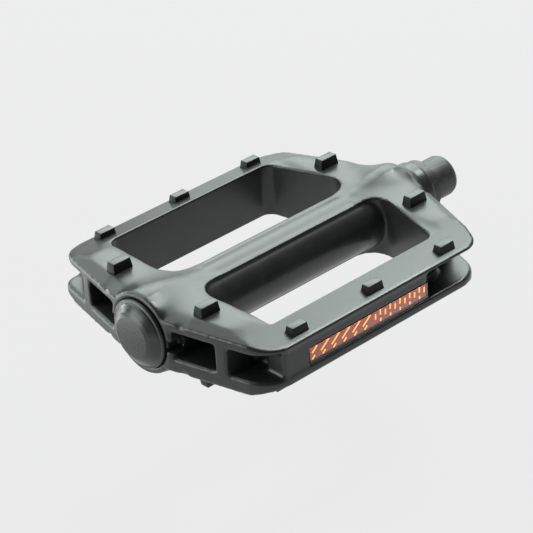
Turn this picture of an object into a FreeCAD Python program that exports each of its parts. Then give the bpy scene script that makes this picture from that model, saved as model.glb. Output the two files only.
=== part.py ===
import FreeCAD, Part
import math
import os

# Flat pedal with a one-piece moulded body on a cup-and-cone axle.
#
# Frame: the origin is on the axle axis, at the shoulder that seats against the crank arm.
# +X leaves the pedal along the crank thread, +Z is up, and the platform lies towards -X.
# Inside this file shapes are drawn about the middle of the platform and moved to that frame
# when they are written. Lengths are millimetres.

Vector = FreeCAD.Vector
X_AXIS = Vector(1, 0, 0)
Y_AXIS = Vector(0, 1, 0)
Z_AXIS = Vector(0, 0, 1)
ORIGIN = Vector(0, 0, 0)

# ---------------------------------------------------------------- driving dimensions

SHOULDER_X = 67.8           # crank shoulder, measured from the middle of the platform

# platform outline: a long hexagon with a shallow V at each end
HALF_WIDTH = 48.5           # long sides
OUT_END_X = -58.8           # outboard V, where its two edges would meet on the axis
OUT_SLOPE = 0.23            # outboard V, mm back along X for each mm of Y
OUT_FLAT_X = -56.0          # outboard V is cut off here, under the collar
IN_END_X = 61.4             # inboard V
IN_SLOPE = 0.40
IN_SLOPE_FRONT = 0.37       # its front edge is a little squarer
IN_FLAT_X = 59.6
CORNER_R = 11.0             # the outer corners, apart from the next two
UPPER_FRONT_IN_R = 6.5      # upper deck, front inboard corner
LOWER_REAR_OUT_R = 5.0      # lower deck, rear outboard corner
TIP_R = 3.0                 # corners of the cut-off tips

# platform thickness, as heights above the axle axis; the underside is a mirror image
RIM_Z = 8.4                 # top of the upright rim at the V ends
CREST_Z = 10.8              # highest part of the deck, at the two V ends
DISH_Z = 9.6                # deck between the V ends
DISH_X = 37.0               # the dish is level this far from the middle
CREST_X = 43.0              # and reaches the crest height here
RIM_BEVEL = 3.6             # how far the bevel above the rim leans in
SHOULDER_Y = 31.0           # deck is level across this half width
BEAM_Y = 38.1               # inner edge of the long beams
BEAM_Z = 9.5
EDGE_Z = 6.55               # deck height at the long edges
SLOT_Z = (-3.7, 5.3)        # hollow between the two decks; the upper deck is the thinner one

# windows
SPINE_Y = 5.4               # half width of the spine between the windows
WINDOW_OUT_X = -38.6        # outboard end of a window, at the axis
WINDOW_OUT_SLOPE = 0.045
WINDOW_IN_X = 43.3          # inboard end of a window, at the axis
WINDOW_IN_SLOPE = 0.26
WINDOW_OUTER_R = 3.0
WINDOW_OUT_CORNER_R = {-1: 1.5, 1: 5.0}   # outer corner at the outboard end, front and rear window
WINDOW_SPINE_R = 9.0
WINDOW_WALL = 2.2

# barrel along the axle
BARREL_R = 10.1
COLLAR_R = 13.9
COLLAR_MOUTH_X = -56.1
NOSE_R = 9.7
NOSE_X = 65.9
COLLAR_NOTCH_Z = 1.8        # half height of the break in each side of the collar
COLLAR_NOTCH_X = -50.5

# ribs between the decks at the V ends
RIB_Y = 31.2
RIB_THICK = 4.0

# grip studs
STUD_PITCH = 32.0           # three studs along each long side
STUD_EDGE_Y = 44.3
STUD_EDGE_TOP = 10.0
STUD_EDGE_SIZE = (5.9, 3.0)
STUD_LOWER_SHIFT = -7.0     # the lower deck's rows stand this much further outboard
STUD_LOWER_Y = 43.5         # and are a little closer in and shorter
STUD_LOWER_TOP = 9.2
STUD_OUT_X = -46.0          # the taller studs on the V ends
STUD_IN_X = 44.3
STUD_END_Y = 20.2
STUD_END_TOP = 14.0
STUD_END_SIZE = (6.7, 3.2)
STUD_DRAFT = 0.14           # sideways growth for each mm down
STUD_ROOT = 4.0             # how far below its top a stud is drawn, well inside the deck

# reflectors in the long sides
WALL_Y = 48.0               # outer face of the pocket wall, just inside the rim
SEAT_Y = 44.0               # floor of the pocket, which the backing plate stands against
POST_X = -37.2              # outboard end of the solid wall
FIN_X = (-41.2, -38.3)      # a separate fin just outboard of it
FIN_Y = 40.0
LENS_X = (-30.6, 20.6)
LENS_FACE_Y = 47.9
LENS_BACK_Y = 45.2
LENS_Z = (-3.55, 2.0)       # it stands almost on the lower deck, under a strip of wall
LENS_GAP = 0.15             # gap between the lens and the pocket, all round
PRISM_DEPTH = 0.9           # hollow between lens and backing plate
LENS_BORDER = 0.7

# bearings: 5/32 inch balls between a pressed cup and a cone, at each end
BALL_R = 1.984
BALL_CIRCLE_R = 6.15
BALL_COUNT = 9
RACE_R = 2.03
IN_BALL_X = 57.0
OUT_BALL_X = -43.0
CUP_R = 8.7
CUP_BORE_R = 5.95
CUP_DEPTH = 3.6             # cup length on the middle side of the balls
CUP_LIP = 1.0               # cup length past the balls
CUP_FIT = 0.03              # radial gap between cup and bore
CAP_SEAT_X = -48.2          # the cap's bore ends here and the cup's bore begins

# axle
THREAD_R = 7.144            # 9/16 inch by 20 threads per inch
THREAD_LENGTH = 11.5
COLLAR_AXLE_R = 8.2
COLLAR_AXLE_LENGTH = 2.4
WRENCH_FLATS = 15.0
SEAL_LAND_R = 6.4
SHAFT_R = 5.5
SHAFT_TIP_R = 5.0
TIP_THREAD_R = 4.0
TIP_SHOULDER_X = -38.0
TIP_X = -54.6
HEX_KEY = 6.0               # across the flats of the socket in the threaded end
HEX_KEY_DEPTH = 7.0

# outboard end hardware
CONE_R = 6.3
CONE_END_X = -48.4
THREAD_FIT = 0.03
TAB_WASHER_R = 6.6
TAB_WASHER_THICK = 1.0
LOCKNUT_FLATS = 11.0
LOCKNUT_THICK = 4.0

# dust cap
CAP_RIM_R = 11.5
CAP_RIM_X = -57.1           # outer face of the rim flange
CAP_FLANGE = 1.1
CAP_FACE_X = -59.8
CAP_FACE_R = 6.9
CAP_SKIRT_R = 9.9
CAP_SKIRT_X = -51.8         # inner end of the skirt
CAP_WALL = 1.2
CAP_POCKET_R = 11.8         # shallow pocket in the collar for the rim flange

# lip seal at the inboard end
SEAL_X = (61.2, 64.2)
SEAL_WALL = 0.8


# ---------------------------------------------------------------- helpers

def rounded_wire(points, radii, z):
    """Closed wire at height z through the points, each corner rounded by its radius."""
    count = len(points)
    starts = []
    ends = []
    mids = []
    for index in range(count):
        corner = Vector(points[index][0], points[index][1], z)
        before = Vector(points[index - 1][0], points[index - 1][1], z) - corner
        after = Vector(points[(index + 1) % count][0], points[(index + 1) % count][1], z) - corner
        before.normalize()
        after.normalize()
        half_angle = before.getAngle(after) / 2
        radius = radii[index]
        reach = radius / math.tan(half_angle)
        bisector = before + after
        bisector.normalize()
        centre = corner + bisector * (radius / math.sin(half_angle))
        starts.append(corner + before * reach)
        ends.append(corner + after * reach)
        mids.append(centre - bisector * radius)
    edges = []
    for index in range(count):
        edges.append(Part.Arc(starts[index], mids[index], ends[index]).toShape())
        edges.append(Part.LineSegment(ends[index], starts[(index + 1) % count]).toShape())
    return Part.Wire(edges)


def inset(points, distance):
    """Move every side of a convex counter-clockwise polygon inwards."""
    count = len(points)
    lines = []
    for index in range(count):
        x1, y1 = points[index]
        x2, y2 = points[(index + 1) % count]
        length = math.hypot(x2 - x1, y2 - y1)
        nx = -(y2 - y1) / length
        ny = (x2 - x1) / length
        lines.append((nx, ny, nx * x1 + ny * y1 + distance))
    moved = []
    for index in range(count):
        a1, b1, c1 = lines[index - 1]
        a2, b2, c2 = lines[index]
        det = a1 * b2 - a2 * b1
        moved.append(((c1 * b2 - c2 * b1) / det, (a1 * c2 - a2 * c1) / det))
    return moved


def prism(wire, height):
    return Part.Face(wire).extrude(Z_AXIS * height)


def box(x1, x2, y1, y2, z1, z2):
    return Part.makeBox(x2 - x1, y2 - y1, z2 - z1, Vector(x1, y1, z1))


def mirrored(shape, normal):
    return shape.mirror(ORIGIN, normal)


def revolve(profile):
    """Solid of revolution about the axle from (x, radius) points."""
    points = [Vector(x, 0, radius) for x, radius in profile]
    face = Part.Face(Part.makePolygon(points + [points[0]]))
    return face.revolve(ORIGIN, X_AXIS, 360)


def ring(x1, x2, inner, outer):
    return revolve([(x1, inner), (x2, inner), (x2, outer), (x1, outer)])


def cylinder(x1, x2, radius):
    return Part.makeCylinder(radius, x2 - x1, Vector(x1, 0, 0), X_AXIS)


def hexagon(x1, x2, across_flats):
    corner_r = across_flats / math.sqrt(3)
    points = []
    for step in range(7):
        angle = math.radians(60 * step)
        points.append(Vector(x1, corner_r * math.cos(angle), corner_r * math.sin(angle)))
    return Part.Face(Part.makePolygon(points)).extrude(X_AXIS * (x2 - x1))


def race(ball_x):
    """Torus swept by a ball with its running clearance."""
    return Part.makeTorus(BALL_CIRCLE_R, RACE_R, Vector(ball_x, 0, 0), X_AXIS)


def write(name, shape):
    moved = shape.copy()
    moved.translate(Vector(-SHOULDER_X, 0, 0))
    moved.exportStep("parts/" + name + ".step")
    print(name, "solids", len(moved.Solids), "valid", moved.isValid(), "volume", round(moved.Volume, 1))


# ---------------------------------------------------------------- moulded body

def platform_outline():
    """Outline of the platform at rim height, counter-clockwise."""
    out_tip_y = (OUT_FLAT_X - OUT_END_X) / OUT_SLOPE
    in_tip_y = (IN_END_X - IN_FLAT_X) / IN_SLOPE
    out_corner_x = OUT_END_X + OUT_SLOPE * HALF_WIDTH
    in_corner_x = IN_END_X - IN_SLOPE * HALF_WIDTH
    in_front_x = IN_END_X - IN_SLOPE_FRONT * HALF_WIDTH
    return [
        (OUT_FLAT_X, -out_tip_y),
        (out_corner_x, -HALF_WIDTH),
        (in_front_x, -HALF_WIDTH),
        (IN_FLAT_X, -in_tip_y),
        (IN_FLAT_X, in_tip_y),
        (in_corner_x, HALF_WIDTH),
        (out_corner_x, HALF_WIDTH),
        (OUT_FLAT_X, out_tip_y),
    ]


UPPER_RADII = [TIP_R, CORNER_R, UPPER_FRONT_IN_R, TIP_R, TIP_R, CORNER_R, CORNER_R, TIP_R]
LOWER_RADII = [TIP_R, CORNER_R, CORNER_R, TIP_R, TIP_R, CORNER_R, LOWER_REAR_OUT_R, TIP_R]


def deck_block(radii):
    """One deck as a solid slab standing on the middle plane, with its bevelled rim."""
    outline = platform_outline()
    lean = RIM_BEVEL
    crest_radii = [max(radius - lean, TIP_R / 2) for radius in radii]
    slab = prism(rounded_wire(outline, radii, 0), RIM_Z)
    low = rounded_wire(outline, radii, RIM_Z)
    high = rounded_wire(inset(outline, lean), crest_radii, CREST_Z + 0.2)
    return slab.fuse(Part.makeLoft([low, high], True, True))


def platform_block():
    """The whole platform as a solid slab with bevelled rims and dished, crowned decks."""
    block = deck_block(UPPER_RADII).fuse(mirrored(deck_block(LOWER_RADII), Z_AXIS))

    far = 80
    dish = [(-far, CREST_Z), (-CREST_X, CREST_Z), (-DISH_X, DISH_Z), (DISH_X, DISH_Z),
            (CREST_X, CREST_Z), (far, CREST_Z)]
    dish_points = [Vector(x, -far, z) for x, z in dish]
    dish_points += [Vector(x, -far, -z) for x, z in reversed(dish)]
    dish_solid = Part.Face(Part.makePolygon(dish_points + [dish_points[0]])).extrude(Y_AXIS * 2 * far)

    crown = [(-HALF_WIDTH - 2, EDGE_Z - 2 * (BEAM_Z - EDGE_Z) / (HALF_WIDTH - BEAM_Y)),
             (-BEAM_Y, BEAM_Z), (-SHOULDER_Y, CREST_Z + 0.1)]
    crown += [(-y, z) for y, z in reversed(crown)]
    crown_points = [Vector(-far, y, z) for y, z in crown]
    crown_points += [Vector(-far, y, -z) for y, z in reversed(crown)]
    crown_solid = Part.Face(Part.makePolygon(crown_points + [crown_points[0]])).extrude(X_AXIS * 2 * far)
    return block.common(dish_solid).common(crown_solid)


def window_outline(grow=0.0):
    """One window on the +Y side, grown outwards for its wall."""
    near = SPINE_Y - grow
    away = BEAM_Y + grow
    out_near = WINDOW_OUT_X + WINDOW_OUT_SLOPE * near - grow
    out_away = WINDOW_OUT_X + WINDOW_OUT_SLOPE * away - grow
    in_near = WINDOW_IN_X - WINDOW_IN_SLOPE * near + grow
    in_away = WINDOW_IN_X - WINDOW_IN_SLOPE * away + grow
    return [(out_near, near), (in_near, near), (in_away, away), (out_away, away)]


def window_prism(side, grow=0.0):
    """The window in front of the axle (side -1) or behind it (side 1), as a tall solid."""
    radii = [WINDOW_SPINE_R + 2 + grow, WINDOW_SPINE_R + grow, WINDOW_OUTER_R + grow,
             WINDOW_OUT_CORNER_R[side] + grow]
    half = 20
    shape = prism(rounded_wire(window_outline(grow), radii, -half), 2 * half)
    return shape if side > 0 else mirrored(shape, Y_AXIS)


def barrel():
    """Barrel with its two swellings, the collar at the outboard end and the nose at the other."""
    profile = [
        (COLLAR_MOUTH_X, 0), (COLLAR_MOUTH_X, COLLAR_R - 0.8), (COLLAR_MOUTH_X + 0.8, COLLAR_R),
        (-51.5, COLLAR_R), (-46.0, 13.4), (-41.0, 12.3), (-35.0, 11.0), (-28.5, BARREL_R),
        (34.0, BARREL_R), (39.5, 11.1), (44.5, 12.5), (49.5, 13.5), (53.5, 13.7), (56.5, 12.9),
        (59.0, 11.2), (60.6, NOSE_R), (NOSE_X - 0.6, NOSE_R), (NOSE_X, NOSE_R - 0.6), (NOSE_X, 0),
    ]
    return revolve(profile)


def stud(centre_x, centre_y, top_z, size):
    """A small bar along X with drafted sides, standing out of the upper deck."""
    wires = []
    for depth in (0, STUD_ROOT):
        half_x = size[0] / 2 + STUD_DRAFT * depth
        half_y = size[1] / 2 + STUD_DRAFT * depth
        corners = [(centre_x - half_x, centre_y - half_y), (centre_x + half_x, centre_y - half_y),
                   (centre_x + half_x, centre_y + half_y), (centre_x - half_x, centre_y + half_y)]
        points = [Vector(x, y, top_z - depth) for x, y in corners]
        wires.append(Part.makePolygon(points + [points[0]]))
    return Part.makeLoft(wires, True, True)


def deck_studs(shift, edge_y, edge_top):
    """The ten studs of one deck, with its rows along the long sides shifted along X."""
    shapes = []
    for side in (-1, 1):
        for column in (-1, 0, 1):
            x = column * STUD_PITCH + shift
            shapes.append(stud(x, side * edge_y, edge_top, STUD_EDGE_SIZE))
        for x in (STUD_OUT_X, STUD_IN_X):
            shapes.append(stud(x, side * STUD_END_Y, STUD_END_TOP, STUD_END_SIZE))
    return shapes


def studs():
    lower = deck_studs(STUD_LOWER_SHIFT, STUD_LOWER_Y, STUD_LOWER_TOP)
    return deck_studs(0, STUD_EDGE_Y, STUD_EDGE_TOP) + [mirrored(shape, Z_AXIS) for shape in lower]


def between_decks():
    """What joins the two decks: window walls, ribs at the V ends and the reflector seats."""
    overlap = 1.0
    low, high = SLOT_Z[0] - overlap, SLOT_Z[1] + overlap
    zone = prism(rounded_wire(inset(platform_outline(), 0.5), UPPER_RADII, low), high - low)
    rear_half = [box(-80, WINDOW_OUT_X, RIB_Y - RIB_THICK / 2, RIB_Y + RIB_THICK / 2, low, high)]
    rear_half.append(box(WINDOW_IN_X - WINDOW_IN_SLOPE * RIB_Y, 80,
                         RIB_Y - RIB_THICK / 2, RIB_Y + RIB_THICK / 2, low, high))
    rear_half.append(box(POST_X, LENS_X[1], BEAM_Y, WALL_Y, low, high))
    rear_half.append(box(FIN_X[0], FIN_X[1], FIN_Y, WALL_Y, low, high))
    shapes = [window_prism(side, WINDOW_WALL) for side in (-1, 1)]
    shapes += rear_half + [mirrored(shape, Y_AXIS) for shape in rear_half]
    return shapes[0].fuse(shapes[1:]).common(zone)


def lens_pocket():
    """Pocket for one reflector, open to the rear and towards the inboard slot."""
    return box(LENS_X[0] - LENS_GAP, LENS_X[1] + 1, SEAT_Y, WALL_Y + 5, SLOT_Z[0], LENS_Z[1] + LENS_GAP)


def bore():
    """Everything turned out of the barrel, from the cap pocket to the mouth of the nose."""
    seat_r = CUP_R + CUP_FIT
    out_seat_x = OUT_BALL_X + CUP_DEPTH
    in_seat_x = IN_BALL_X - CUP_DEPTH
    middle_r = SHAFT_R + 1.2
    return revolve([
        (COLLAR_MOUTH_X - 1, 0), (COLLAR_MOUTH_X - 1, CAP_POCKET_R), (CAP_RIM_X + CAP_FLANGE, CAP_POCKET_R),
        (CAP_RIM_X + CAP_FLANGE, CAP_SKIRT_R + 0.05), (CAP_SEAT_X, CAP_SKIRT_R + 0.05),
        (CAP_SEAT_X, seat_r), (out_seat_x, seat_r), (out_seat_x, middle_r), (in_seat_x, middle_r), (in_seat_x, seat_r),
        (NOSE_X + 1, seat_r), (NOSE_X + 1, 0),
    ])


def pedal_body():
    block = platform_block()
    hollow = box(-80, 80, -80, 80, SLOT_Z[0], SLOT_Z[1])
    decks = block.cut(hollow)
    windows = [window_prism(side) for side in (-1, 1)]
    pocket = lens_pocket()
    shell = decks.fuse(between_decks()).cut(windows + [pocket, mirrored(pocket, Y_AXIS)])
    spine_x = 50
    spine = box(WINDOW_OUT_X - 2, spine_x, -SPINE_Y, SPINE_Y, -DISH_Z, DISH_Z)
    body = shell.fuse([spine, barrel()] + studs())
    body = body.cut(bore())
    for side in (-1, 1):
        low, high = sorted((side * (CAP_POCKET_R - 0.4), side * 20))
        body = body.cut(box(COLLAR_MOUTH_X - 1, COLLAR_NOTCH_X, low, high, -COLLAR_NOTCH_Z, COLLAR_NOTCH_Z))
    return body.removeSplitter()


# ---------------------------------------------------------------- axle and bearings

def axle():
    collar_x = SHOULDER_X - COLLAR_AXLE_LENGTH
    end_x = SHOULDER_X + THREAD_LENGTH
    chamfer = 1.2
    turned = revolve([
        (TIP_X, 0), (TIP_X, TIP_THREAD_R - 0.5), (TIP_X + 0.5, TIP_THREAD_R),
        (TIP_SHOULDER_X, TIP_THREAD_R), (TIP_SHOULDER_X, SHAFT_TIP_R),
        (IN_BALL_X - 8, SHAFT_R), (IN_BALL_X - 1.4, SHAFT_R), (IN_BALL_X - 0.4, SEAL_LAND_R),
        (collar_x, SEAL_LAND_R), (collar_x, COLLAR_AXLE_R),
        (SHOULDER_X, COLLAR_AXLE_R), (SHOULDER_X, THREAD_R), (end_x - chamfer, THREAD_R),
        (end_x, THREAD_R - chamfer), (end_x, 0),
    ])
    turned = turned.cut(race(IN_BALL_X))
    turned = turned.cut(hexagon(end_x - HEX_KEY_DEPTH, end_x + 1, HEX_KEY))
    for side in (-1, 1):
        low, high = sorted((side * WRENCH_FLATS / 2, side * 20))
        turned = turned.cut(box(collar_x + 0.1, SHOULDER_X, -20, 20, low, high))
    return turned


def balls(ball_x):
    shapes = []
    for index in range(BALL_COUNT):
        angle = 2 * math.pi * index / BALL_COUNT
        centre = Vector(ball_x, BALL_CIRCLE_R * math.cos(angle), BALL_CIRCLE_R * math.sin(angle))
        shapes.append(Part.makeSphere(BALL_R, centre))
    return Part.makeCompound(shapes)


def cup(ball_x, towards):
    """Pressed cup: its seat is on the middle side of the balls; towards is +1 inboard, -1 outboard."""
    back_x = ball_x - towards * CUP_DEPTH
    lip_x = ball_x + towards * CUP_LIP
    solid = ring(min(back_x, lip_x), max(back_x, lip_x), CUP_BORE_R, CUP_R)
    clear_x = ball_x + towards * (CUP_LIP + 1)
    clearance = cylinder(min(ball_x, clear_x), max(ball_x, clear_x), BALL_CIRCLE_R + RACE_R)
    return solid.cut(race(ball_x)).cut(clearance)


def outboard_cone():
    solid = revolve([
        (CONE_END_X, TIP_THREAD_R + THREAD_FIT), (TIP_SHOULDER_X - 1.0, TIP_THREAD_R + THREAD_FIT),
        (TIP_SHOULDER_X - 1.0, CUP_BORE_R - 0.9), (OUT_BALL_X + 1.4, CUP_BORE_R - 0.9),
        (OUT_BALL_X + 0.4, CONE_R), (CONE_END_X, CONE_R),
    ])
    return solid.cut(race(OUT_BALL_X))


def tab_washer():
    disc = ring(CONE_END_X - TAB_WASHER_THICK, CONE_END_X, TIP_THREAD_R + THREAD_FIT, TAB_WASHER_R)
    return disc


def locknut():
    end_x = CONE_END_X - TAB_WASHER_THICK
    body = hexagon(end_x - LOCKNUT_THICK, end_x, LOCKNUT_FLATS)
    return body.cut(cylinder(end_x - LOCKNUT_THICK - 1, end_x + 1, TIP_THREAD_R + THREAD_FIT))


def axle_seal():
    """Rubber lip seal: an outer band in the nose, a web, and a lip that runs on the axle."""
    x1, x2 = SEAL_X
    land = SEAL_LAND_R + 0.05
    return revolve([
        (x1, land + SEAL_WALL), (x1, CUP_R), (x2, CUP_R), (x2, land),
        (x2 - SEAL_WALL, land), (x2 - SEAL_WALL, CUP_R - SEAL_WALL), (x1 + SEAL_WALL, CUP_R - SEAL_WALL),
        (x1 + SEAL_WALL, land + SEAL_WALL),
    ])


def dust_cap():
    """Domed press-in cap with a flat middle, a stepped rim and a skirt."""
    flange_back_x = CAP_RIM_X + CAP_FLANGE
    return revolve([
        (CAP_FACE_X, 0), (CAP_FACE_X, CAP_FACE_R), (CAP_FACE_X + 0.5, CAP_FACE_R + 1.3),
        (CAP_FACE_X + 1.5, CAP_RIM_R - 1.9), (CAP_FACE_X + 2.3, CAP_RIM_R - 1.3),
        (CAP_RIM_X, CAP_RIM_R - 1.0), (CAP_RIM_X, CAP_RIM_R - 0.3), (CAP_RIM_X + 0.3, CAP_RIM_R),
        (flange_back_x, CAP_RIM_R), (flange_back_x, CAP_SKIRT_R), (CAP_SKIRT_X, CAP_SKIRT_R),
        (CAP_SKIRT_X, CAP_SKIRT_R - CAP_WALL), (CAP_RIM_X + 0.6, CAP_SKIRT_R - CAP_WALL),
        (CAP_FACE_X + CAP_WALL, CAP_FACE_R - 0.5), (CAP_FACE_X + CAP_WALL, 0),
    ])


# ---------------------------------------------------------------- reflectors

def reflector_lens():
    """Clear amber block with a smooth face and a hollow for its prisms behind it."""
    block = box(LENS_X[0], LENS_X[1], LENS_BACK_Y, LENS_FACE_Y, LENS_Z[0], LENS_Z[1])
    hollow = box(LENS_X[0] + LENS_BORDER, LENS_X[1] - LENS_BORDER, LENS_BACK_Y, LENS_BACK_Y + PRISM_DEPTH,
                 LENS_Z[0] + LENS_BORDER, LENS_Z[1] - LENS_BORDER)
    return block.cut(hollow)


def reflector_backing():
    """Plate that closes the lens and stands against the seat in the body."""
    return box(LENS_X[0], LENS_X[1], SEAT_Y, LENS_BACK_Y, LENS_Z[0], LENS_Z[1])


# ---------------------------------------------------------------- write

os.makedirs("parts", exist_ok=True)
write("pedal_body", pedal_body())
write("axle", axle())
write("inboard_balls", balls(IN_BALL_X))
write("outboard_balls", balls(OUT_BALL_X))
write("inboard_cup", cup(IN_BALL_X, 1))
write("outboard_cup", cup(OUT_BALL_X, -1))
write("outboard_cone", outboard_cone())
write("tab_washer", tab_washer())
write("locknut", locknut())
write("axle_seal", axle_seal())
write("dust_cap", dust_cap())
write("front_reflector_lens", mirrored(reflector_lens(), Y_AXIS))
write("front_reflector_backing", mirrored(reflector_backing(), Y_AXIS))
write("rear_reflector_lens", reflector_lens())
write("rear_reflector_backing", reflector_backing())
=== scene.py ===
# %% [markdown]
# # A flat pedal, dressed for its picture
# The machine side of this pedal is already drawn: body, axle, cups, balls and cap sit in the packed
# frame, each where it works. This lesson gives the parts that show their moulded and turned
# surfaces, and keeps every one of them in the place that the frame gives it.

# %% Load the frame
import bpy
import bmesh
import math
from mathutils import Matrix, Vector


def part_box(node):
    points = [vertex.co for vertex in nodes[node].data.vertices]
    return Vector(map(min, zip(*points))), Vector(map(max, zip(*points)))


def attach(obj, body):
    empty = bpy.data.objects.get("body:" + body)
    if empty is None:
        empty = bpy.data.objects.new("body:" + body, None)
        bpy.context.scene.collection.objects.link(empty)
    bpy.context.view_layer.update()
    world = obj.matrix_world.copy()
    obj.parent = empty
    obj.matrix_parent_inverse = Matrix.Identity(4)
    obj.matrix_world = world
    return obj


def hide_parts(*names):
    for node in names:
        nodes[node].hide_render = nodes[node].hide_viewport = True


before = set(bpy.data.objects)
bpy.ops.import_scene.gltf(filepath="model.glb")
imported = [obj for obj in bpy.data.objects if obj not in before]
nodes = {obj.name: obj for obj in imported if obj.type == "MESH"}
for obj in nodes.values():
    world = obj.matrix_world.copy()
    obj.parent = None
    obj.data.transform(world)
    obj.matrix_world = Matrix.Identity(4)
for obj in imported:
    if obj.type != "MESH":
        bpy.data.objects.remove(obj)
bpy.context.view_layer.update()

# %% [markdown]
# ## Millimetres about the middle of the platform
# The frame is in metres and starts at the crank shoulder. A moulder would draw the body in
# millimetres about its own middle, so the pieces are drawn that way and moved home at the end.

# %% Working units
MM = 0.001
SHOULDER_X = 67.8


def to_row(obj, name):
    """Move a finished piece from platform millimetres into the frame, with its place in its mesh."""
    only(obj)
    obj.matrix_world = Matrix.Translation((-SHOULDER_X * MM, 0, 0)) @ Matrix.Scale(MM, 4)
    bpy.ops.object.transform_apply(location=True, rotation=True, scale=True)
    obj.name = name
    obj.data.name = name
    print(name, "faces", len(obj.data.polygons))
    return obj


def box_mm(node):
    """Lowest and highest corner of a node, in platform millimetres."""
    low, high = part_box(node)
    shift = Vector((SHOULDER_X, 0, 0))
    return low / MM + shift, high / MM + shift


# %% [markdown]
# ## The camera first
# A long lens from the outboard front, a little above the decks and tipped a few degrees. It is set
# before anything is made, so every later choice can be judged through it.

# %% Camera
VIEW_AZIMUTH = -41.41
VIEW_ELEVATION = 29.85
VIEW_ROLL = -4.07
VIEW_DISTANCE = 740.1
VIEW_SHIFT = (2.27, 1.08)


def make_camera():
    data = bpy.data.cameras.new("camera")
    data.lens = 156.95
    data.sensor_width = 36
    data.clip_start = 0.05
    data.clip_end = 20
    camera = bpy.data.objects.new("camera", data)
    bpy.context.scene.collection.objects.link(camera)
    turn = Matrix.Rotation(math.radians(VIEW_AZIMUTH), 4, "Z")
    turn = turn @ Matrix.Rotation(math.radians(90 - VIEW_ELEVATION), 4, "X")
    turn = turn @ Matrix.Rotation(math.radians(VIEW_ROLL), 4, "Z")
    offset = turn @ Vector((-VIEW_SHIFT[0], -VIEW_SHIFT[1], VIEW_DISTANCE))
    place = Vector((-SHOULDER_X, 0, 0)) + offset
    camera.matrix_world = Matrix.Translation(place * MM) @ turn
    bpy.context.scene.camera = camera
    print("camera at", [round(value, 4) for value in camera.location])


make_camera()

# %% [markdown]
# ## Hand tools
# A few moves come back all the time: take hold of one object, choose faces or edges by where they
# are, cut with a plane, round an edge, and join or subtract a second solid. Each gets a short name.

# %% Hold, choose, cut and round
def only(obj):
    """Make obj the one selected and active object."""
    bpy.ops.object.select_all(action="DESELECT")
    obj.select_set(True)
    bpy.context.view_layer.objects.active = obj


def block(x, y, z):
    """A cube stretched between two x, two y and two z values."""
    bpy.ops.mesh.primitive_cube_add(size=1)
    obj = bpy.context.object
    obj.scale = (x[1] - x[0], y[1] - y[0], z[1] - z[0])
    obj.location = ((x[0] + x[1]) / 2, (y[0] + y[1]) / 2, (z[0] + z[1]) / 2)
    only(obj)
    bpy.ops.object.transform_apply(location=True, rotation=True, scale=True)
    return obj


def slice_off(obj, point, normal):
    """Cut obj with a plane and throw away the side that the normal points to."""
    only(obj)
    bpy.ops.object.mode_set(mode="EDIT")
    bpy.ops.mesh.select_all(action="SELECT")
    bpy.ops.mesh.bisect(plane_co=point, plane_no=normal, use_fill=True, clear_outer=True)
    bpy.ops.object.mode_set(mode="OBJECT")


def pick(obj, kind, test):
    """In edit mode, select only the verts, edges or faces whose place and direction pass the test."""
    bpy.ops.mesh.select_mode(type={"verts": "VERT", "edges": "EDGE", "faces": "FACE"}[kind])
    bpy.ops.mesh.select_all(action="DESELECT")
    mesh = bmesh.from_edit_mesh(obj.data)
    for item in getattr(mesh, kind):
        if kind == "verts":
            place, direction = item.co, item.normal
        elif kind == "edges":
            place = (item.verts[0].co + item.verts[1].co) / 2
            direction = (item.verts[1].co - item.verts[0].co).normalized()
        else:
            place, direction = item.calc_center_median(), item.normal
        if test(place, direction):
            item.select_set(True)
    mesh.select_flush_mode()
    bmesh.update_edit_mesh(obj.data)


def round_edges(obj, test, reach, steps):
    """Round the chosen edges; reach is how far the arc runs back from the old edge."""
    only(obj)
    bpy.ops.object.mode_set(mode="EDIT")
    pick(obj, "edges", test)
    bpy.ops.mesh.bevel(offset=reach, offset_type="OFFSET", segments=steps, affect="EDGES")
    bpy.ops.object.mode_set(mode="OBJECT")


def upright(low_y, high_y, low_x=-99, high_x=99):
    """Test for edges along Z whose |y| and x are between the limits."""
    def test(place, direction):
        return abs(direction.z) > 0.99 and low_y < abs(place.y) < high_y and low_x < place.x < high_x
    return test


def merge(target, other, operation):
    """Boolean: UNION joins other to target, DIFFERENCE cuts it out. other is used up."""
    only(target)
    modifier = target.modifiers.new("merge", "BOOLEAN")
    modifier.operation = operation
    modifier.solver = "EXACT"
    modifier.object = other
    bpy.ops.object.modifier_apply(modifier=modifier.name)
    bpy.data.objects.remove(other)


def copy_of(obj):
    twin = obj.copy()
    twin.data = obj.data.copy()
    bpy.context.scene.collection.objects.link(twin)
    return twin


def reflect(obj, axis):
    """Turn obj into its mirror image across the plane square to an axis, faces kept outwards."""
    only(obj)
    obj.scale = tuple(-1 if name == axis else 1 for name in "xyz")
    bpy.ops.object.transform_apply(location=True, rotation=True, scale=True)
    bpy.ops.object.mode_set(mode="EDIT")
    bpy.ops.mesh.select_all(action="SELECT")
    bpy.ops.mesh.normals_make_consistent(inside=False)
    bpy.ops.object.mode_set(mode="OBJECT")
    return obj


# %% [markdown]
# ## Joining and turning
# A turned part starts as its half outline, drawn as a wire, and is spun about the axle. Revolving
# a curve would do as well, but a spun wire keeps every corner where the drawing has it.

# %% Join and turn
def join(pieces):
    """Put several meshes in one object, without any welding."""
    bpy.ops.object.select_all(action="DESELECT")
    for piece in pieces:
        piece.select_set(True)
    bpy.context.view_layer.objects.active = pieces[0]
    bpy.ops.object.join()
    return pieces[0]


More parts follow.
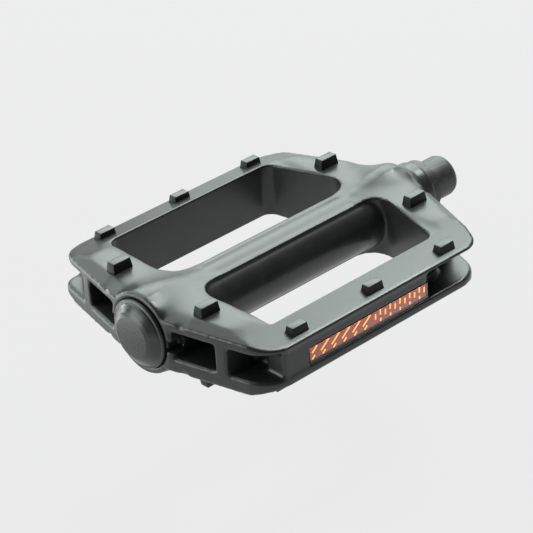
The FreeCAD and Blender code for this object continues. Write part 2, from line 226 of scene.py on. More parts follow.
def line(points):
    """A wire through the points, grown from one vertex by extrusion."""
    bpy.ops.mesh.primitive_plane_add(size=1)
    obj = bpy.context.object
    bpy.ops.object.mode_set(mode="EDIT")
    bpy.ops.mesh.select_mode(type="VERT")
    bpy.ops.mesh.select_all(action="SELECT")
    bpy.ops.mesh.merge(type="CENTER")
    bpy.ops.transform.translate(value=points[0])
    for before, after in zip(points, points[1:]):
        move = Vector(after) - Vector(before)
        bpy.ops.mesh.extrude_vertices_move(TRANSFORM_OT_translate={"value": move})
    bpy.ops.object.mode_set(mode="OBJECT")
    return obj


def turned(profile, steps=96, bend=0.0, bend_steps=4):
    """Solid turned about the axle from (x, radius) points; bend rounds the profile's corners."""
    obj = line([(x, 0, radius) for x, radius in profile])
    only(obj)
    bpy.ops.object.mode_set(mode="EDIT")
    if bend > 0:
        pick(obj, "verts", lambda place, direction: place.z > bend)
        bpy.ops.mesh.bevel(offset=bend, segments=bend_steps, affect="VERTICES")
    bpy.ops.mesh.select_all(action="SELECT")
    bpy.ops.mesh.spin(steps=steps, angle=math.tau, center=(0, 0, 0), axis=(1, 0, 0))
    bpy.ops.mesh.select_all(action="SELECT")
    bpy.ops.mesh.remove_doubles(threshold=0.0005)
    bpy.ops.mesh.normals_make_consistent(inside=False)
    bpy.ops.object.mode_set(mode="OBJECT")
    return obj


def use_modifier(obj, kind, **settings):
    """Add a modifier, give it its settings and apply it."""
    only(obj)
    modifier = obj.modifiers.new(kind.lower(), kind)
    for key, value in settings.items():
        setattr(modifier, key, value)
    bpy.ops.object.modifier_apply(modifier=modifier.name)


# %% [markdown]
# ## The platform, drawn in straight cuts
# The body comes out of one mould as two decks with air between them. Each deck starts as a block:
# four slanted cuts make the shallow V at each end, two blunt the tips, and the corners are rounded.
# The top face is then inset and raised, which gives one bevel that follows the whole outline, and
# two sloping cuts let the long sides fall away. Cutting keeps every face true.

# %% Platform sizes
HALF_WIDTH = 48.5
OUT_END_X, OUT_SLOPE, OUT_FLAT_X = -58.8, 0.23, -56.0
IN_END_X, IN_SLOPE, IN_SLOPE_FRONT, IN_FLAT_X = 61.4, 0.40, 0.37, 59.6
RIM_Z = 8.4
CREST_Z = 10.8
DISH_Z = 9.6
DISH_X, CREST_X = 37.0, 43.0
BEVEL_IN = 3.7
BEAM_Y, BEAM_Z = 38.1, 9.5
EDGE_Z = 6.55
SLOT_LOW, SLOT_HIGH = -3.7, 5.3
RIM_ROUND = 1.0
SPINE_Y = 5.4


def outline_cuts(obj):
    """The six slanted and blunt cuts that give a block the outline of the platform."""
    for side, in_slope in ((-1, IN_SLOPE_FRONT), (1, IN_SLOPE)):
        slice_off(obj, (OUT_END_X, 0, 0), (-1, side * OUT_SLOPE, 0))
        slice_off(obj, (IN_END_X, 0, 0), (1, side * in_slope, 0))
    slice_off(obj, (OUT_FLAT_X, 0, 0), (-1, 0, 0))
    slice_off(obj, (IN_FLAT_X, 0, 0), (1, 0, 0))


def corner_reach(radius, slope):
    """How far an arc of that radius runs back from a corner between a V edge and a long side."""
    return radius / math.tan((math.pi / 2 + math.atan(slope)) / 2)


def round_corner(obj, end, side, radius):
    """Round one of the four outer corners: end is -1 outboard or 1 inboard, side is -1 front."""
    slope = OUT_SLOPE if end < 0 else IN_SLOPE

    def test(place, direction):
        return abs(direction.z) > 0.99 and place.x * end > 20 and place.y * side > HALF_WIDTH - 0.5
    round_edges(obj, test, corner_reach(radius, slope), 12)


def deck(under, radii):
    """A deck that stands on its inner face at height under; radii by (end, side)."""
    obj = block((-70, 70), (-HALF_WIDTH, HALF_WIDTH), (under, RIM_Z))
    outline_cuts(obj)
    for (end, side), radius in radii.items():
        round_corner(obj, end, side, radius)
    round_edges(obj, lambda place, direction: place.z < under + 0.01, RIM_ROUND, 4)
    only(obj)
    bpy.ops.object.mode_set(mode="EDIT")
    pick(obj, "faces", lambda place, direction: direction.z > 0.99)
    bpy.ops.mesh.inset(thickness=BEVEL_IN)
    bpy.ops.transform.translate(value=(0, 0, CREST_Z - RIM_Z))
    bpy.ops.object.mode_set(mode="OBJECT")
    crown = (BEAM_Z - EDGE_Z) / (HALF_WIDTH - BEAM_Y)
    for side in (-1, 1):
        slice_off(obj, (0, side * HALF_WIDTH, EDGE_Z), (0, side * crown, 1))
    return obj


# %% [markdown]
# Between its two V ends each deck is dished by a little over a millimetre. The dish is one sloping
# cutter, used on both decks.

# %% Dish
def dish_cutter():
    """What is scooped out of a deck between its two V ends."""
    obj = block((-CREST_X - 5, CREST_X + 5), (-60, 60), (DISH_Z, CREST_Z + 4))
    rise = (CREST_Z - DISH_Z) / (CREST_X - DISH_X)
    for end in (-1, 1):
        slice_off(obj, (end * DISH_X, 0, DISH_Z), (end, 0, -1 / rise))
    return obj


def finished_deck(under, radii):
    obj = deck(under, radii)
    merge(obj, dish_cutter(), "DIFFERENCE")
    return obj


upper_deck = finished_deck(SLOT_HIGH, {(-1, -1): 11, (-1, 1): 11, (1, -1): 6.5, (1, 1): 11})
lower_deck = finished_deck(-SLOT_LOW, {(-1, -1): 11, (-1, 1): 5, (1, -1): 11, (1, 1): 11})
reflect(lower_deck, "z")
print("deck faces:", len(upper_deck.data.polygons), len(lower_deck.data.polygons))

# %% [markdown]
# ## The barrel
# The axle runs in a barrel that swells at both ends, where the bearings sit: a collar outboard and a
# rounded hump inboard that ends in a short nose. Its outline is turned about the axle, and then the
# place where it rises out of the decks is smoothed, because a mould has no sharp inner corners.

# %% Barrel sizes
BARREL_R = 10.1
COLLAR_R = 13.9
COLLAR_X = -56.1
NOSE_R = 9.7
NOSE_X = 65.9
BARREL_LINE = [
    (COLLAR_X, 0), (COLLAR_X, COLLAR_R - 0.5), (COLLAR_X + 0.5, COLLAR_R), (-51.5, 13.9), (-46.0, 13.4),
    (-41.0, 12.3), (-35.0, 11.0), (-28.5, BARREL_R), (34.0, BARREL_R), (39.5, 11.1), (44.5, 12.5),
    (49.5, 13.5), (53.5, 13.7), (56.5, 12.9), (59.0, 11.2), (60.6, NOSE_R), (NOSE_X - 0.5, NOSE_R),
    (NOSE_X, NOSE_R - 0.5), (NOSE_X, 0),
]

spine = block((-40, 50), (-SPINE_Y, SPINE_Y), (-DISH_Z, DISH_Z))
barrel = turned(BARREL_LINE)


def barrel_guard():
    """The barrel a hair larger, to be spared by whatever is cut out around it."""
    return turned([(x, radius + 0.12 if radius > 0 else 0) for x, radius in BARREL_LINE])


print("barrel faces:", len(barrel.data.polygons))

# %% [markdown]
# ## What stands between the decks
# The decks are held apart by the walls of two windows, by a rib on each side of each V end, by the
# solid wall that seats a reflector and by a separate fin beside it. The rest of the gap is air.

# %% Windows
WINDOW_OUT_X, WINDOW_OUT_SLOPE = -38.6, 0.045
WINDOW_IN_X, WINDOW_IN_SLOPE = 43.3, 0.26
WINDOW_WALL = 2.2
WINDOW_OUTER_R = 3.0
WINDOW_OUT_CORNER_R = {-1: 1.5, 1: 5.0}
WINDOW_SPINE_R = 9.0


def window(side, grow, half_height):
    """The window in front (side -1) or behind (side 1) as a solid, grown by a wall thickness."""
    obj = block((-60, 60), (SPINE_Y - grow, BEAM_Y + grow), (-half_height, half_height))
    slice_off(obj, (WINDOW_OUT_X - grow, 0, 0), (-1, WINDOW_OUT_SLOPE, 0))
    slice_off(obj, (WINDOW_IN_X + grow, 0, 0), (1, WINDOW_IN_SLOPE, 0))
    round_edges(obj, upright(BEAM_Y - 1, 60, low_x=0), WINDOW_OUTER_R + grow, 6)
    round_edges(obj, upright(BEAM_Y - 1, 60, high_x=0), WINDOW_OUT_CORNER_R[side] + grow, 8)
    round_edges(obj, upright(-1, 8), WINDOW_SPINE_R + grow, 12)
    return obj if side > 0 else reflect(obj, "y")


def open_window(side):
    """A window as it is cut: everything inside its outline that isn't barrel."""
    obj = window(side, 0, 20)
    merge(obj, barrel_guard(), "DIFFERENCE")
    return obj


def front_and_rear(obj):
    """obj and its mirror image across the axle."""
    return [obj, reflect(copy_of(obj), "y")]


# %% [markdown]
# The ribs are plain bars between the decks, trimmed by the same six cuts as the outline. The walls
# and fins are blocks. All of them reach a little into the decks, so that one skin can cover the lot.

# %% Ribs, walls and fins
RIB_Y, RIB_HALF = 31.2, 2.0
WALL_Y = 48.0
POST_X = -37.2
FIN_X, FIN_Y = (-41.2, -38.3), 40.0
BETWEEN = (SLOT_LOW - 0.8, SLOT_HIGH + 0.8)
LENS_LOW, LENS_HIGH = box_mm("rear_reflector_lens")
SEAT_Y = box_mm("rear_reflector_backing")[0].y
POCKET_GAP = 0.15


def rib(x):
    obj = block(x, (RIB_Y - RIB_HALF, RIB_Y + RIB_HALF), BETWEEN)
    outline_cuts(obj)
    return obj


between = [window(side, WINDOW_WALL, SLOT_HIGH + 0.8) for side in (-1, 1)]
between += front_and_rear(rib((-70, -35))) + front_and_rear(rib((30, 70)))
between += front_and_rear(block((POST_X, LENS_HIGH.x), (BEAM_Y, WALL_Y), BETWEEN))
between += front_and_rear(block(FIN_X, (FIN_Y, WALL_Y), BETWEEN))
print("pieces between the decks:", len(between))

# %% [markdown]
# ## One skin over all of it
# Decks, spine, barrel and walls are laid together and given one even skin of small faces. Only the
# skin along the foot of the swellings and the rise of the dish is then relaxed many
# times, which pulls soft fillets into the joins and leaves the other edges alone.

# %% Skin and fillet
def near_swelling(place, direction):
    """The skin between a swelling's flank and the deck, away from the rims."""
    if abs(place.z) < 7.0 or abs(place.z) > 13.4:
        return False
    if -55.0 < place.x < -26.0:
        return 2.0 < abs(place.y) < 19.0
    return 32.0 < place.x < 57.0 and 2.0 < abs(place.y) < 17.0


def near_dish(place, direction):
    """The gentle rise from the dish to the crest at each end."""
    return abs(place.z) > 8.9 and 32.0 < abs(place.x) < 48.0 and 8.0 < abs(place.y) < 38.0


FIRST_SKIN = 0.7
SWELLING_PASSES, DISH_PASSES = 90, 30
core = join([upper_deck, lower_deck, spine, barrel] + between)
use_modifier(core, "REMESH", mode="VOXEL", voxel_size=FIRST_SKIN)
only(core)
bpy.ops.object.mode_set(mode="EDIT")
for test, times in ((near_swelling, SWELLING_PASSES), (near_dish, DISH_PASSES)):
    pick(core, "verts", test)
    bpy.ops.mesh.vertices_smooth(factor=0.5, repeat=times)
bpy.ops.object.mode_set(mode="OBJECT")
print("core faces:", len(core.data.polygons))

# %% [markdown]
# ## Holes
# The windows go through both decks, and the bore through the barrel. The reflectors need their
# pockets and the collar has a break in each side. Each hole is drawn as a solid and subtracted.

# %% Bore, cap pocket, lens pockets and collar breaks
CUP_SEAT_R = 8.73
CAP_SKIRT_R = 9.95
CAP_POCKET_R = 11.8
CAP_POCKET_X = -55.4
IN_SEAT_X, OUT_SEAT_X, CAP_SEAT_X = 53.4, -39.4, -48.2
MIDDLE_BORE_R = 6.7


def bore():
    return turned([
        (-70, 0), (-70, CAP_POCKET_R), (CAP_POCKET_X, CAP_POCKET_R), (CAP_POCKET_X, CAP_SKIRT_R),
        (CAP_SEAT_X, CAP_SKIRT_R), (CAP_SEAT_X, CUP_SEAT_R), (OUT_SEAT_X, CUP_SEAT_R),
        (OUT_SEAT_X, MIDDLE_BORE_R), (IN_SEAT_X, MIDDLE_BORE_R), (IN_SEAT_X, CUP_SEAT_R), (70, CUP_SEAT_R),
        (70, 0),
    ])


pocket = block((LENS_LOW.x - POCKET_GAP, LENS_HIGH.x + 1), (SEAT_Y, 60),
               (SLOT_LOW, LENS_HIGH.z + POCKET_GAP))
collar_break = block((-60, -50.5), (11.2, 20), (-1.8, 1.8))
cutters = [bore(), open_window(-1), open_window(1)] + front_and_rear(pocket)
cutters += front_and_rear(collar_break)
for cutter in cutters:
    merge(core, cutter, "DIFFERENCE")
print("cut core faces:", len(core.data.polygons))

# %% [markdown]
# ## The final skin
# A second, finer skin goes over the cut body and is relaxed a little all over. That gives every
# edge the small radius that a mould leaves. Then flat stretches give up most of their faces.

# %% Fine skin
FINE_SKIN = 0.42
BODY_TRIANGLES = 180000
use_modifier(core, "REMESH", mode="VOXEL", voxel_size=FINE_SKIN)
use_modifier(core, "SMOOTH", factor=0.5, iterations=4)
skin_triangles = 2 * len(core.data.polygons)
use_modifier(core, "DECIMATE", ratio=min(1.0, BODY_TRIANGLES / skin_triangles))
only(core)
bpy.ops.object.shade_smooth_by_angle(angle=math.radians(40))
moulded_body = to_row(core, "moulded_body")

# %% [markdown]
# The finished body turns with the platform and takes the place of the plain CAD body.

# %% Ride and replace
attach(moulded_body, "platform")
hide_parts("pedal_body")
print("body triangles before thinning:", skin_triangles)

# %% [markdown]
# ## Grip studs
# Ten small bars stand on each deck and bite into the sole. A mould must let go of them, so their
# sides lean in a little. Each is a cube whose foot is spread, and the lower deck gets the mirror
# image with its long rows shifted along the axle.

# %% Grip studs
STUD_PITCH = 32.0
STUD_EDGE = {"y": 44.3, "top": 10.0, "size": (5.9, 3.0), "sink": 3.2}
STUD_LOWER = {"y": 43.5, "top": 9.2, "size": (5.9, 3.0), "sink": 3.2}
STUD_END = {"y": 20.2, "top": 14.0, "size": (6.7, 3.2), "sink": 4.2}
STUD_LOWER_SHIFT = -7.0
STUD_OUT_X, STUD_IN_X = -46.0, 44.3
STUD_DRAFT = 0.14


def stud(x, side, kind):
    """A small drafted bar: a cube whose foot is spread, with softened edges."""
    y, top, size, sink = side * kind["y"], kind["top"], kind["size"], kind["sink"]
    obj = block((x - size[0] / 2, x + size[0] / 2), (y - size[1] / 2, y + size[1] / 2), (top - sink, top))
    only(obj)
    bpy.ops.object.mode_set(mode="EDIT")
    pick(obj, "faces", lambda place, direction: direction.z < -0.9)
    spread = 2 * STUD_DRAFT * sink
    bpy.ops.transform.resize(value=(1 + spread / size[0], 1 + spread / size[1], 1),
                             center_override=(x, y, top - sink))
    bpy.ops.object.mode_set(mode="OBJECT")
    use_modifier(obj, "BEVEL", width=0.28, segments=3, limit_method="ANGLE")
    return obj


def deck_studs(shift, edge):
    """The ten studs of one deck; its rows along the long sides are shifted along the axle."""
    made = []
    for side in (-1, 1):
        made += [stud(column * STUD_PITCH + shift, side, edge) for column in (-1, 0, 1)]
        made += [stud(x, side, STUD_END) for x in (STUD_OUT_X, STUD_IN_X)]
    return join(made)


grip_studs = join([deck_studs(0, STUD_EDGE), reflect(deck_studs(STUD_LOWER_SHIFT, STUD_LOWER), "z")])
only(grip_studs)
bpy.ops.object.shade_smooth_by_angle(angle=math.radians(50))
grip_studs = to_row(grip_studs, "grip_studs")
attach(grip_studs, "platform")
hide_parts("pedal_body")

# %% [markdown]
# ## The dust cap
# A round cap closes the outboard end of the barrel and keeps water off the bearing. It has a flat
# face, a sloping dome, a thin flange and a skirt that presses into the bore. It is one turned shell.

# %% Dust cap
CAP_RIM_R, CAP_RIM_X, CAP_FLANGE = 11.5, -57.1, 1.1
CAP_FACE_X, CAP_FACE_R, CAP_WALL = -59.8, 6.9, 1.2
cap = turned([
    (CAP_FACE_X, 0), (CAP_FACE_X, CAP_FACE_R), (CAP_FACE_X + 0.6, CAP_FACE_R + 1.3),
    (CAP_FACE_X + 1.4, CAP_RIM_R - 2.2), (CAP_FACE_X + 2.2, CAP_RIM_R - 1.2), (CAP_RIM_X, CAP_RIM_R - 0.9),
    (CAP_RIM_X, CAP_RIM_R - 0.2), (CAP_RIM_X + 0.4, CAP_RIM_R), (CAP_RIM_X + CAP_FLANGE, CAP_RIM_R),
    (CAP_RIM_X + CAP_FLANGE, 9.9), (-51.8, 9.9), (-51.8, 8.7), (CAP_RIM_X + 0.6, 8.7),
    (CAP_FACE_X + CAP_WALL, CAP_FACE_R - 0.5), (CAP_FACE_X + CAP_WALL, 0),
], steps=128, bend=0.12, bend_steps=3)
only(cap)
bpy.ops.object.shade_smooth_by_angle(angle=math.radians(35))
dust_cap = to_row(cap, "dust_cap_shell")
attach(dust_cap, "platform")
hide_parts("dust_cap")
print("cap diameter:", 2 * CAP_RIM_R)

# %% [markdown]
# ## The axle
# The axle is turned from bar and blacked. Inboard it ends in a threaded stem with a rounded tip and
# a hexagon socket, behind a collar with two spanner flats. The thread is a real screw: half a wave
# of profile, swept round the axle while it moves along. The screw is still an open skin when it is
# trimmed, so its end doesn't close properly and the trim doesn't come out the same in every run.

# %% Axle
THREAD_R = 7.12
THREAD_PITCH = 1.27
THREAD_DEPTH = 0.25
THREAD_END_X = 79.3
SHANK_LINE = [
    (-54.6, 0), (-54.6, 3.5), (-54.1, 4.0), (-38.0, 4.0), (-38.0, 5.0), (49.0, 5.5), (55.6, 5.5),
    (56.1, 4.6), (57.0, 4.3), (57.9, 5.2), (58.2, 6.4), (65.4, 6.4), (65.4, 8.2), (67.8, 8.2), (67.8, 6.7),
    (69.2, 6.6), (69.2, 0),
]


def thread_stem():
    """The threaded end: a screw surface, cut to length and trimmed by a rounded envelope."""
    root = THREAD_R - THREAD_DEPTH
    wave = [(0.0, root), (0.30, root), (0.55, THREAD_R), (0.80, THREAD_R), (1.0, root)]
    start = 67.0
    obj = line([(start + step * THREAD_PITCH, 0, radius) for step, radius in wave])
    turns = int((THREAD_END_X + 2 - start) / THREAD_PITCH)
    use_modifier(obj, "SCREW", axis="X", angle=math.tau, screw_offset=THREAD_PITCH, iterations=turns,
                 steps=64, render_steps=64, use_merge_vertices=True, merge_threshold=0.001)
    slice_off(obj, (68.6, 0, 0), (-1, 0, 0))
    slice_off(obj, (THREAD_END_X, 0, 0), (1, 0, 0))
    only(obj)
    bpy.ops.object.mode_set(mode="EDIT")
    bpy.ops.mesh.select_all(action="SELECT")
    bpy.ops.mesh.normals_make_consistent(inside=False)
    bpy.ops.object.mode_set(mode="OBJECT")
    envelope = turned([(60, 0), (60, 9), (68.6, 9), (69.4, THREAD_R), (77.6, THREAD_R), (78.7, 6.75),
                       (THREAD_END_X, 5.9), (THREAD_END_X, 0)])
    merge(obj, envelope, "INTERSECT")
    return obj


def hexagon(across, x):
    """A bar of hexagonal section along X, from six plane cuts."""
    obj = block(x, (-across, across), (-across, across))
    for corner in range(6):
        angle = math.tau * corner / 6
        direction = Vector((0, math.cos(angle), math.sin(angle)))
        slice_off(obj, direction * across / 2, direction)
    return obj


stem = thread_stem()
merge(stem, hexagon(6.0, (THREAD_END_X - 7, THREAD_END_X + 5)), "DIFFERENCE")
shank = turned(SHANK_LINE, steps=96, bend=0.12, bend_steps=2)
for side in (-1, 1):
    flat = block((65.5, 67.75), sorted((side * 7.5, side * 12)), (-12, 12))
    merge(shank, flat, "DIFFERENCE")
spindle = join([shank, stem])
only(spindle)
bpy.ops.object.shade_smooth_by_angle(angle=math.radians(35))
spindle = to_row(spindle, "spindle")
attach(spindle, "axle")
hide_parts("axle")

# %% [markdown]
# ## Reflectors
# Each reflector is a clear amber cover over a moulded plate of prisms. The prisms throw light back,
# so the real plate shows bright streaks on a darker ground: slanted ridges along one half and short
# upright ones, in staggered rows, along the other. Here the streaks are a painted glint on the ridge
# crests, made to glow. A pad lifts the ridges close behind the cover, because clear acrylic seen at
# a slant hides whatever lies deep in it.

# %% Prism plate
PLATE_FRONT_Y = 46.65
PRISM_HEIGHT = 0.32
COVER_BACK_Y = 47.05
COVER_BORDER = 0.3
SLANT_PITCH = 4.45
UPRIGHT_START, UPRIGHT_PITCH = 30.7, 4.3


def ridge(x, z, length, width, lean):
    """One prism: a bar with a pinched crest, leaning by some degrees in the plane of the plate."""
    obj = block((-width / 2, width / 2), (0, PRISM_HEIGHT), (-length / 2, length / 2))
    only(obj)
    bpy.ops.object.mode_set(mode="EDIT")
    pick(obj, "faces", lambda place, direction: direction.y > 0.9)
    bpy.ops.transform.resize(value=(0.5, 1, 0.85), center_override=(0, PRISM_HEIGHT, 0))
    bpy.ops.object.mode_set(mode="OBJECT")
    obj.rotation_euler = (0, math.radians(lean), 0)
    obj.location = (x, PLATE_FRONT_Y - 0.02, z)
    only(obj)
    bpy.ops.object.transform_apply(location=True, rotation=True, scale=True)
    return obj


def prism_plate():
    """The rear plate: a base behind the cover and a pad of ridges that fills the cover's hollow."""
    low, high = box_mm("rear_reflector_backing")
    base = block((low.x, high.x), (low.y, high.y), (low.z, high.z))
    use_modifier(base, "BEVEL", width=0.15, segments=2)
    rim = COVER_BORDER + 0.1
    pad = block((LENS_LOW.x + rim, LENS_HIGH.x - rim), (high.y - 0.1, PLATE_FRONT_Y),
                (LENS_LOW.z + rim, LENS_HIGH.z - rim))
    start = LENS_LOW.x
    ridges = [ridge(start + 2.6, 0.35, 3.0, 0.75, 53)]
    for step in range(1, 6):
        ridges.append(ridge(start + 2.5 + SLANT_PITCH * step, 0.1, 4.7, 0.75, 53))
    for step in range(6):
        ridges.append(ridge(start + 2.0 + SLANT_PITCH * step, -2.1, 1.7, 0.7, 50))
    first = start + UPRIGHT_START
    for step in range(5):
        ridges.append(ridge(first + UPRIGHT_PITCH * step, 0.45, 1.9, 0.75, 4))
        ridges.append(ridge(first + UPRIGHT_PITCH * step, -2.15, 1.1, 0.75, 4))
    for step in range(6):
        ridges.append(ridge(first + UPRIGHT_PITCH * (step - 0.5), -0.35, 2.0, 0.75, 4))
    return join([base, pad] + ridges)


rear_plate = prism_plate()
front_plate = reflect(copy_of(rear_plate), "y")
for name, piece in (("rear", rear_plate), ("front", front_plate)):
    piece = to_row(piece, name + "_prism_plate")
    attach(piece, "platform")
    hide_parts(name + "_reflector_backing")

# %% [markdown]
# The cover is a slab of clear acrylic, hollowed from behind to make room for the prisms. It stands
# clear of its pocket all round.

# %% Lens covers
def lens_cover():
    """A clear cover for the rear side: a slab with soft edges and a shallow hollow behind."""
    low, high = LENS_LOW, LENS_HIGH
    cover = block((low.x, high.x), (low.y, high.y), (low.z, high.z))
    rim = COVER_BORDER
    hollow = block((low.x + rim, high.x - rim), (low.y - 1, COVER_BACK_Y), (low.z + rim, high.z - rim))
    merge(cover, hollow, "DIFFERENCE")
    use_modifier(cover, "BEVEL", width=0.22, segments=3, limit_method="ANGLE")
    only(cover)
    bpy.ops.object.shade_smooth_by_angle(angle=math.radians(50))
    return cover


rear_cover = lens_cover()
front_cover = reflect(copy_of(rear_cover), "y")
for name, piece in (("rear", rear_cover), ("front", front_cover)):
    piece = to_row(piece, name + "_lens_cover")
    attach(piece, "platform")
    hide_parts(name + "_reflector_lens")

# %% [markdown]
# ## Shader arithmetic
# Each surface is a small recipe of nodes. A signal wraps one socket, so that masks can be added and
# multiplied as plain numbers, and one method makes any other node.

# %% Signals and recipes
class Signal:
    """One output socket that can be used in arithmetic."""

    def __init__(self, recipe, socket):
        self.recipe = recipe
        self.socket = socket

    def math(self, operation, first, second):
        return self.recipe.node("Math", {"operation": operation}, {0: first, 1: second})

    def __add__(self, other):
        return self.math("ADD", self, other)

    def __radd__(self, other):
        return self.math("ADD", other, self)

    def __sub__(self, other):
        return self.math("SUBTRACT", self, other)

    def __rsub__(self, other):
        return self.math("SUBTRACT", other, self)

    def __mul__(self, other):
        return self.math("MULTIPLY", self, other)

    def __rmul__(self, other):
        return self.math("MULTIPLY", other, self)

    def above(self, low, high):
        """0 below low, 1 above high, with a smooth step between."""
        ports = {"Value": self, "From Min": low, "From Max": high}
        return self.recipe.node("MapRange", {"interpolation_type": "SMOOTHSTEP"}, ports)


class Recipe:
    """A material with one Principled shader, grown node by node."""

    def __init__(self, name, **even):
        """even names sockets, with _ for a space, that keep one value all over."""
        self.material = bpy.data.materials.new(name)
        self.material.use_nodes = True
        self.tree = self.material.node_tree
        self.shader = self.tree.nodes["Principled BSDF"]
        for socket, value in even.items():
            self.shader.inputs[socket.replace("_", " ")].default_value = value

    def node(self, kind, settings, sockets, output=0):
        made = self.tree.nodes.new("ShaderNode" + kind)
        for key, value in settings.items():
            setattr(made, key, value)
        for key, value in sockets.items():
            if isinstance(value, Signal):
                self.tree.links.new(value.socket, made.inputs[key])
            else:
                made.inputs[key].default_value = value
        return Signal(self, made.outputs[output])

    def place(self):
        return self.node("TexCoord", {}, {}, "Object")

    def along(self):
        """X, Y and Z of the surface point, in metres of the frame."""
        return [self.node("SeparateXYZ", {}, {0: self.place()}, axis) for axis in range(3)]

    def noise(self, size_mm, detail=3.0, roughness=0.5):
        ports = {"Vector": self.place(), "Scale": 1000 / size_mm, "Detail": detail, "Roughness": roughness}
        return self.node("TexNoise", {}, ports)

    def blend(self, mask, dark, light):
        """A colour between two colours."""
        return self.node("Mix", {"data_type": "RGBA"}, {0: mask, 6: dark, 7: light}, 2)

    def bump(self, height, depth_mm, strength=1.0):
        return self.node("Bump", {}, {"Height": height, "Distance": depth_mm * MM, "Strength": strength})

    def finish(self, **links):
        for socket, value in links.items():
            self.tree.links.new(value.socket, self.shader.inputs[socket.replace("_", " ")])
        return self.material


def paint(piece, material):
    piece.data.materials.clear()
    piece.data.materials.append(material)


# %% [markdown]
# ## Moulded nylon
# The mould's surface is bead blasted, so the nylon has a fine, low grain and a dull sheen that
# varies a little where the melt cooled unevenly. Corners are painted slightly paler, a painted
# highlight along the edges. The sides of the studs are painted darker than the decks and given a
# weaker gloss: painted shade for the dark that those sides face and mirror.

# %% Body and studs
def nylon(name, dark, light, sheen, gloss=0.5, depth=0.02):
    recipe = Recipe(name, IOR=1.5, Specular_IOR_Level=gloss)
    grain = recipe.noise(0.45, detail=4.0)
    flow = recipe.noise(14.0, detail=2.0)
    cloud = recipe.noise(3.5, detail=3.0)
    # Convex edges are painted paler here: a painted highlight along the edges of the nylon.
    edge_wear_and_highlight = recipe.node("NewGeometry", {}, {}, "Pointiness").above(0.53, 0.62)
    tone = flow.above(0.3, 0.7) * 0.5 + cloud.above(0.35, 0.65) * 0.3 + edge_wear_and_highlight * 0.5
    colour = recipe.blend(tone, dark, light)
    rough = sheen + flow * 0.10 + (grain - 0.5) * 0.10 + edge_wear_and_highlight * 0.05
    relief = recipe.bump(grain + cloud * 0.6, depth, strength=0.5)
    return recipe.finish(Base_Color=colour, Roughness=rough, Normal=relief)


body_nylon = nylon("moulded_nylon", (0.016, 0.0175, 0.0175, 1), (0.026, 0.0285, 0.028, 1), 0.27)
# A darker, less glossy copy of the nylon for the stud sides: painted shade.
shaded_stud_nylon = nylon("shaded_stud_nylon", (0.008, 0.009, 0.0095, 1), (0.014, 0.016, 0.016, 1), 0.36, gloss=0.22)
cap_nylon = nylon("cap_nylon", (0.018, 0.0195, 0.0195, 1), (0.030, 0.032, 0.032, 1), 0.22,
                  depth=0.003)
paint(moulded_body, body_nylon)
paint(grip_studs, shaded_stud_nylon)
grip_studs.data.materials.append(body_nylon)
# Faces that point up or down keep the deck's nylon; the side faces take the painted-shade copy.
for face in grip_studs.data.polygons:
    face.material_index = int(abs(face.normal.z) > 0.9)
paint(dust_cap, cap_nylon)

# %% [markdown]
# ## Metals and rubber
# The axle is blacked and lightly oiled, with turning marks round it. Balls, cups, cone and the zinc
# plated small parts show ground, pressed and plated steel, and the seal is dull rubber.

# %% Steel and rubber
def steel(name, dark, light, rough, metallic, lines_mm):
    recipe = Recipe(name)
    x = recipe.along()[0]
    turning = recipe.node("TexNoise", {"noise_dimensions": "1D"},
                          {"W": x, "Scale": 1000 / lines_mm, "Detail": 3.0})
    stain = recipe.noise(2.5, detail=4.0)
    edge_wear_and_highlight = recipe.node("NewGeometry", {}, {}, "Pointiness").above(0.54, 0.64)
    tone = stain.above(0.3, 0.75) * 0.6 + edge_wear_and_highlight * 0.6
    colour = recipe.blend(tone, dark, light)
    polish = rough + (turning - 0.5) * 0.18 + (stain - 0.5) * 0.14
    relief = recipe.bump(turning + stain * 0.3, 0.012, strength=0.4)
    metal = metallic + edge_wear_and_highlight * 0.1
    return recipe.finish(Base_Color=colour, Roughness=polish, Metallic=metal, Normal=relief)


def rubber(name):
    recipe = Recipe(name)
    grain = recipe.noise(0.3, detail=3.0)
    dust = recipe.noise(2.0, detail=3.0)
    colour = recipe.blend(dust.above(0.4, 0.8), (0.012, 0.012, 0.012, 1), (0.035, 0.034, 0.032, 1))
    rough = 0.62 + (grain - 0.5) * 0.15 + dust * 0.1
    return recipe.finish(Base_Color=colour, Roughness=rough, Normal=recipe.bump(grain, 0.02, strength=0.6))


paint(spindle, steel("black_steel", (0.030, 0.030, 0.031, 1), (0.07, 0.068, 0.065, 1), 0.45, 0.2, 0.12))
ground = steel("ground_steel", (0.42, 0.42, 0.43, 1), (0.62, 0.62, 0.62, 1), 0.16, 0.9, 0.10)
pressed = steel("pressed_steel", (0.20, 0.20, 0.20, 1), (0.36, 0.35, 0.34, 1), 0.30, 0.9, 0.15)
plated = steel("zinc_plate", (0.40, 0.41, 0.42, 1), (0.60, 0.60, 0.58, 1), 0.28, 0.9, 0.20)
carried = {
    "inboard_balls": ground, "outboard_balls": ground, "inboard_cup": pressed, "outboard_cup": pressed,
    "outboard_cone": pressed, "tab_washer": plated, "locknut": plated, "axle_seal": rubber("seal_rubber"),
}
for name, material in carried.items():
    paint(nodes[name], material)
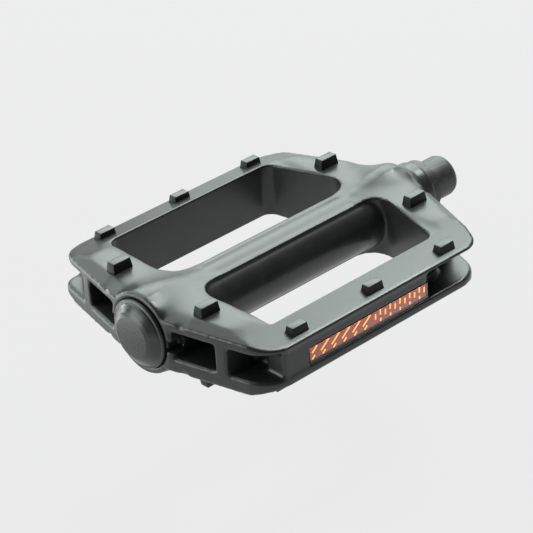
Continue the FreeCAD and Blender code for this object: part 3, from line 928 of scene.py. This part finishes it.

# %% [markdown]
# ## Amber
# The plate's crests are painted bright yellow and made to glow, a painted glint for the light that
# real prisms send back at the eye. They sit on a red brown ground that glows faintly as well and is
# painted darker along its bottom strip as painted shade. The cover over them is clear acrylic with a
# weak amber tint and a few fine rub marks.

# %% Reflector materials
def prism_amber_painted_light():
    recipe = Recipe("prism_amber_painted_light", Emission_Strength=1.0)
    depth = recipe.along()[1]
    outward = recipe.node("Math", {"operation": "ABSOLUTE"}, {0: depth})
    crest = outward.above(0.04675, 0.04690)
    patch = recipe.noise(2.2, detail=2.0)
    # Painted glint: the crests are coloured bright yellow and made to glow.
    painted_glint = crest * (0.80 + patch * 0.35)
    # Painted shade: the bottom strip of the plate is coloured darker and glows less.
    foot = 1 - recipe.along()[2].above(-0.00305, -0.00285)
    ground = recipe.blend(foot, (0.30, 0.10, 0.075, 1), (0.06, 0.012, 0.010, 1))
    painted_ground_glow = recipe.blend(foot, (0.22, 0.082, 0.062, 1), (0.035, 0.010, 0.008, 1))
    # The whole plate glows by emission, a painted glow; it is no lamp.
    colour = recipe.blend(painted_glint, ground, (0.85, 0.50, 0.14, 1))
    painted_glow = recipe.blend(painted_glint, painted_ground_glow, (1.75, 0.95, 0.30, 1))
    relief = recipe.bump(recipe.noise(0.5), 0.03, strength=0.5)
    rough = 0.30 + patch * 0.2
    return recipe.finish(Base_Color=colour, Emission_Color=painted_glow, Roughness=rough, Normal=relief)


def clear_amber():
    recipe = Recipe("clear_amber", IOR=1.49, Transmission_Weight=1.0)
    rub = recipe.noise(1.2, detail=4.0)
    edge = recipe.node("NewGeometry", {}, {}, "Pointiness").above(0.52, 0.6)
    colour = recipe.blend(edge * 0.6 + rub * 0.2, (0.98, 0.80, 0.74, 1), (0.80, 0.50, 0.42, 1))
    rough = 0.03 + rub.above(0.45, 0.8) * 0.08
    return recipe.finish(Base_Color=colour, Roughness=rough, Normal=recipe.bump(rub, 0.01, strength=0.3))


glowing = prism_amber_painted_light()
clear = clear_amber()
for piece in (rear_plate, front_plate):
    paint(piece, glowing)
for piece in (rear_cover, front_cover):
    paint(piece, clear)

# %% [markdown]
# ## Floor and lamps
# The pedal is shown on a plain pale sheet under large soft lamps. Most of the light comes from above
# and behind, so the decks mirror it towards the camera while the sides stay dark.

# %% Lamps
LAMP_COLOUR = (0.90, 1.0, 0.965)


def soft_light(name, direction, distance, size, radiance):
    """Soft rectangular lamp that looks at the middle of the platform; radiance sets how bright it looks."""
    data = bpy.data.lights.new(name, "AREA")
    data.shape = "RECTANGLE"
    data.size, data.size_y = size
    data.energy = radiance * 4 * size[0] * size[1]
    data.color = LAMP_COLOUR
    lamp = bpy.data.objects.new(name, data)
    bpy.context.scene.collection.objects.link(lamp)
    away = Vector(direction).normalized()
    lamp.location = Vector((-SHOULDER_X * MM, 0, 0)) + away * distance
    lamp.rotation_euler = away.to_track_quat("Z", "Y").to_euler()
    lamp.visible_camera = False
    return lamp


LAMPS = [
    ("top_back", (0.20, 0.58, 0.74), 0.85, (1.9, 1.1), 1.95),
    ("deck_card", (0.57, 0.52, 0.60), 0.84, (0.60, 0.46), 2.7),
    ("hot_spot", (0.57, -0.02, 0.82), 0.80, (0.22, 0.30), 15.0),
    ("left_back", (-0.86, 0.42, 0.24), 0.80, (0.5, 0.4), 4.2),
    ("back_card", (-0.25, 0.96, 0.04), 0.80, (0.34, 0.16), 6.0),
    ("right_back", (0.84, 0.545, 0.03), 0.90, (0.9, 0.5), 1.1),
    ("low_left", (-0.62, 0.66, -0.27), 0.17, (0.14, 0.07), 2.4),
]
for lamp in LAMPS:
    soft_light(*lamp)

print("lamps:", len(LAMPS))

world = bpy.data.worlds.new("studio")
bpy.context.scene.world = world
world.use_nodes = True
world.node_tree.nodes["Background"].inputs["Color"].default_value = (0.10, 0.10, 0.102, 1)

# %% [markdown]
# The sheet under the pedal shines faintly by itself, so it stays even and pale and takes hardly
# any shadow. The Standard view keeps the greys as they are mixed.

# %% Floor
FLOOR_Z = -0.055
bpy.ops.mesh.primitive_plane_add(size=8, location=(0, 0, FLOOR_Z))
floor = bpy.context.object
floor.name = "floor"
paper = Recipe("floor_paper", Roughness=0.95, Emission_Strength=1.0)
paper.shader.inputs["Specular IOR Level"].default_value = 0.0
paper.shader.inputs["Base Color"].default_value = (0.02, 0.02, 0.02, 1)
paper.shader.inputs["Emission Color"].default_value = (0.80, 0.80, 0.80, 1)
paint(floor, paper.material)
bpy.context.scene.view_settings.view_transform = "Standard"
